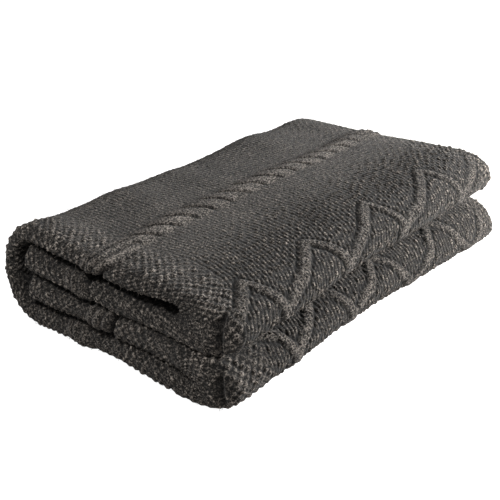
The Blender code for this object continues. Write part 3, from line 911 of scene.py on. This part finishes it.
# Pieces of one fineness meet point for point. Where a coarse one meets a fine one, between the
# layers, slits of up to 4 mm are left. One of 3 mm runs under the cast-off chain of the inner sheet,
# in the top layer.
SEEN_ABOVE = column(0.335)
SEEN_TOP = column(WRAP_TOP)
SEEN_FOOT = column(WRAP_FOOT)
SEEN_UNDER = column(FOLD_FOOT)
SEEN_BELOW = column(1.350)
LAST_ROW = PLACE_X.shape[0] - 1
LAST_COLUMN = len(ALONG) - 1
OPEN_RIM = 20
BACK_RIM = LAST_ROW - OPEN_RIM
SEAM = NOSE_START - 16
BACK_SEAM = NOSE_END + 15
PANEL = OPEN_END - FLAT_END
NOSE_CUT = 0.075
EDGE_CUT = ROW_STEP * OPEN_RIM
PIECES = (
    # name, grid, rows and columns as (first, last, step), flat length
    ("top_and_upper_fold", KNIT, (0, SEAM, 1), (SEEN_ABOVE, SEEN_TOP, 1), PANEL),
    ("wrap", KNIT, (0, SEAM, 1), (SEEN_TOP, SEEN_FOOT, 1), PANEL),
    ("lower_fold", KNIT, (0, SEAM, 1), (SEEN_UNDER, SEEN_BELOW, 1), PANEL),
    ("underside", KNIT, (0, SEAM, 2), (SEEN_FOOT, SEEN_UNDER, 2), PANEL),
    ("nose", KNIT, (SEAM, BACK_SEAM, 1), (0, LAST_COLUMN, 1), NOSE_CUT),
    ("upper_flap", KNIT, (OPEN_RIM, SEAM, 4), (0, SEEN_ABOVE, 4), PANEL),
    ("upper_flap_open_edge", KNIT, (0, OPEN_RIM, 1), (0, SEEN_ABOVE, 1), EDGE_CUT),
    ("lower_flap", KNIT, (OPEN_RIM, SEAM, 4), (SEEN_BELOW, LAST_COLUMN, 4), PANEL),
    ("lower_flap_open_edge", KNIT, (0, OPEN_RIM, 1), (SEEN_BELOW, LAST_COLUMN, 1), EDGE_CUT),
    ("inner_sheet", KNIT, (BACK_SEAM, BACK_RIM, 5), (0, LAST_COLUMN, 4), PANEL),
    ("inner_open_edge", KNIT, (BACK_RIM, LAST_ROW, 1), (0, LAST_COLUMN, 2), EDGE_CUT),
    ("inside", INSIDE_KNIT, (OPEN_RIM, BACK_RIM, 8), (0, LAST_COLUMN, 5), 2 * PANEL),
    ("outer_edge_back", INSIDE_KNIT, (0, OPEN_RIM, 2), (0, LAST_COLUMN, 2), EDGE_CUT),
    ("inner_edge_back", INSIDE_KNIT, (BACK_RIM, LAST_ROW, 2), (0, LAST_COLUMN, 2), EDGE_CUT),
)
for name, grid, rows, columns, length in PIECES:
    cloth_piece(name, grid, rows, columns)


# Cast-off chains of the knitted ends
# Both ends are cast off with a chain of yarn loops that lies along the edge. One loop is made and
# repeated along each edge.
CHAIN_SIZES = {"Loop spacing": 0.0092, "Loop radius": 0.0054, "Yarn radius": 0.0017}
CHAIN_NARROW = 0.62
CHAIN_IN = 0.0025
# Share of light painted on the chain's yarn, the same all over it
CHAIN_PAINTED_LIGHT = 0.75
LOOP_CORNERS = 10
YARN_SIDES = 5


def new_tree(name, sizes):
    """Geometry node tree with one named input for each size. Gives its nodes, links and ends."""
    tree = bpy.data.node_groups.new(name, "GeometryNodeTree")
    tree.interface.new_socket("Geometry", in_out="INPUT", socket_type="NodeSocketGeometry")
    for label in sizes:
        tree.interface.new_socket(label, in_out="INPUT", socket_type="NodeSocketFloat")
    tree.interface.new_socket("Geometry", in_out="OUTPUT", socket_type="NodeSocketGeometry")
    given = tree.nodes.new("NodeGroupInput").outputs
    result = tree.nodes.new("NodeGroupOutput").inputs["Geometry"]
    return tree, given, result


def finish_tree(tree, instances, painted_light, result):
    """Ends a tree: real meshes, the light painted on them, and the yarn."""
    nodes, links = tree.nodes, tree.links
    real = nodes.new("GeometryNodeRealizeInstances")
    store = nodes.new("GeometryNodeStoreNamedAttribute")
    store.inputs["Name"].default_value = "painted_light"
    store.inputs["Value"].default_value = painted_light
    paint = nodes.new("GeometryNodeSetMaterial")
    paint.inputs["Material"].default_value = YARN
    links.new(instances, real.inputs["Geometry"])
    links.new(real.outputs["Geometry"], store.inputs["Geometry"])
    links.new(store.outputs["Geometry"], paint.inputs["Geometry"])
    links.new(paint.outputs["Geometry"], result)


def circle(nodes, corners):
    """Circle of a given number of corners."""
    ring = nodes.new("GeometryNodeCurvePrimitiveCircle")
    ring.inputs["Resolution"].default_value = corners
    return ring


def chain_tree():
    """Yarn loops repeated along an edge."""
    tree, given, result = new_tree("cast-off chain", CHAIN_SIZES)
    nodes, links = tree.nodes, tree.links
    edge = nodes.new("GeometryNodeMeshToCurve")
    even = nodes.new("GeometryNodeResampleCurve")
    even.mode = "LENGTH"
    loop = circle(nodes, LOOP_CORNERS)
    narrow = nodes.new("GeometryNodeTransform")
    narrow.inputs["Scale"].default_value = (1, CHAIN_NARROW, 1)
    yarn = circle(nodes, YARN_SIDES)
    tube = nodes.new("GeometryNodeCurveToMesh")
    turned = nodes.new("FunctionNodeAlignRotationToVector")
    turned.axis = "X"
    repeat = nodes.new("GeometryNodeInstanceOnPoints")
    links.new(given["Geometry"], edge.inputs["Mesh"])
    links.new(edge.outputs["Curve"], even.inputs["Curve"])
    links.new(given["Loop spacing"], even.inputs["Length"])
    links.new(given["Loop radius"], loop.inputs["Radius"])
    links.new(given["Yarn radius"], yarn.inputs["Radius"])
    links.new(loop.outputs["Curve"], narrow.inputs["Geometry"])
    links.new(narrow.outputs["Geometry"], tube.inputs["Curve"])
    links.new(yarn.outputs["Curve"], tube.inputs["Profile Curve"])
    links.new(nodes.new("GeometryNodeInputTangent").outputs["Tangent"], turned.inputs["Vector"])
    links.new(even.outputs["Curve"], repeat.inputs["Points"])
    links.new(tube.outputs["Mesh"], repeat.inputs["Instance"])
    links.new(turned.outputs["Rotation"], repeat.inputs["Rotation"])
    finish_tree(tree, repeat.outputs["Instances"], CHAIN_PAINTED_LIGHT, result)
    return tree


def grown(name, source, tree, sizes):
    """A plain piece that a node tree grows on a source mesh."""
    holder = bpy.data.objects.new(name, source)
    bpy.context.scene.collection.objects.link(holder)
    modifier = holder.modifiers.new(name, "NODES")
    modifier.node_group = tree
    for item in tree.interface.items_tree:
        if item.name in sizes:
            modifier[item.identifier] = sizes[item.name]
    bpy.context.view_layer.update()
    result = holder.evaluated_get(bpy.context.evaluated_depsgraph_get())
    mesh = bpy.data.meshes.new_from_object(result)
    bpy.data.objects.remove(holder)
    mesh.shade_smooth()
    piece = bpy.data.objects.new(name, mesh)
    dress(piece)
    return piece


CHAIN_TREE = chain_tree()
for name, row in (("outer_cast_off", 0), ("inner_cast_off", LAST_ROW)):
    places = KNIT[row] - np.array([CHAIN_IN, 0, 0])
    edge_line = bpy.data.meshes.new(name)
    edge_line.from_pydata(places.tolist(), [(k, k + 1) for k in range(len(places) - 1)], [])
    grown(name, edge_line, CHAIN_TREE, CHAIN_SIZES)


# Loose hairs of the wool
# Short fine hairs stand out of the spun yarn all over the cloth, each bent its own way.
HAIR_SIZES = {"Hairs per square metre": 7000, "Bend radius": 0.0060, "Hair radius": 0.00020}
HAIR_BEND = 1.1
HAIR_UP = 0.55
HAIR_SIDES = 3
HAIR_POINTS = 4
HAIR_SEED = 7
HAIR_SCALES = (0.5, 1.2)  # shortest and longest, as shares of the bend
# Share of light painted on the hairs, the same all over them
HAIR_PAINTED_LIGHT = 0.75
HAIR_GRID = (6, 4)


def hair_tree():
    """Bent hairs scattered over a surface."""
    tree, given, result = new_tree("loose hairs", HAIR_SIZES)
    nodes, links = tree.nodes, tree.links
    scatter = nodes.new("GeometryNodeDistributePointsOnFaces")
    scatter.inputs["Seed"].default_value = HAIR_SEED
    bend = nodes.new("GeometryNodeCurveArc")
    bend.inputs["Resolution"].default_value = HAIR_POINTS
    bend.inputs["Sweep Angle"].default_value = HAIR_BEND
    at_root = nodes.new("ShaderNodeCombineXYZ")
    minus = nodes.new("ShaderNodeMath")
    minus.operation = "MULTIPLY"
    minus.inputs[1].default_value = -1
    stand = nodes.new("GeometryNodeTransform")
    stand.inputs["Rotation"].default_value = (math.pi / 2, 0, 0)
    thin = circle(nodes, HAIR_SIDES)
    tube = nodes.new("GeometryNodeCurveToMesh")
    tube.inputs["Fill Caps"].default_value = True
    anyway = nodes.new("FunctionNodeRandomValue")
    anyway.data_type = "FLOAT_VECTOR"
    anyway.inputs["Min"].default_value = (-1, -1, -1)
    anyway.inputs["Seed"].default_value = HAIR_SEED
    lean = nodes.new("ShaderNodeVectorMath")
    lean.operation = "MULTIPLY_ADD"
    lean.inputs[1].default_value = (HAIR_UP, HAIR_UP, HAIR_UP)
    turned = nodes.new("FunctionNodeAlignRotationToVector")
    turned.axis = "Z"
    long = nodes.new("FunctionNodeRandomValue")
    long.data_type = "FLOAT"
    grow = nodes.new("GeometryNodeInstanceOnPoints")
    links.new(given["Geometry"], scatter.inputs["Mesh"])
    links.new(given["Hairs per square metre"], scatter.inputs["Density"])
    links.new(given["Bend radius"], bend.inputs["Radius"])
    links.new(given["Bend radius"], minus.inputs[0])
    links.new(minus.outputs["Value"], at_root.inputs["X"])
    links.new(at_root.outputs["Vector"], stand.inputs["Translation"])
    links.new(given["Hair radius"], thin.inputs["Radius"])
    links.new(bend.outputs["Curve"], stand.inputs["Geometry"])
    links.new(stand.outputs["Geometry"], tube.inputs["Curve"])
    links.new(thin.outputs["Curve"], tube.inputs["Profile Curve"])
    links.new(scatter.outputs["Normal"], lean.inputs[0])
    links.new(anyway.outputs["Value"], lean.inputs[2])
    links.new(lean.outputs["Vector"], turned.inputs["Vector"])
    # Inputs 2 and 3 are the lowest and highest of the plain numbers, output 1 is the number
    long.inputs[2].default_value, long.inputs[3].default_value = HAIR_SCALES
    links.new(scatter.outputs["Points"], grow.inputs["Points"])
    links.new(tube.outputs["Mesh"], grow.inputs["Instance"])
    links.new(turned.outputs["Rotation"], grow.inputs["Rotation"])
    links.new(long.outputs[1], grow.inputs["Scale"])
    finish_tree(tree, grow.outputs["Instances"], HAIR_PAINTED_LIGHT, result)
    return tree


rows = spaced(0, BACK_SEAM, HAIR_GRID[0])
columns = spaced(SEEN_ABOVE, SEEN_BELOW, HAIR_GRID[1])
hairy, _ = grid_mesh("hairy side", KNIT[rows[:, None], columns[None, :]], True)
hairs = grown("loose_hairs", hairy, hair_tree(), HAIR_SIZES)
places = np.empty(len(hairs.data.vertices) * 3, dtype=np.float32)
hairs.data.vertices.foreach_get("co", places)
places[2::3] = np.maximum(places[2::3], FLOOR_DROP)
hairs.data.vertices.foreach_set("co", places)
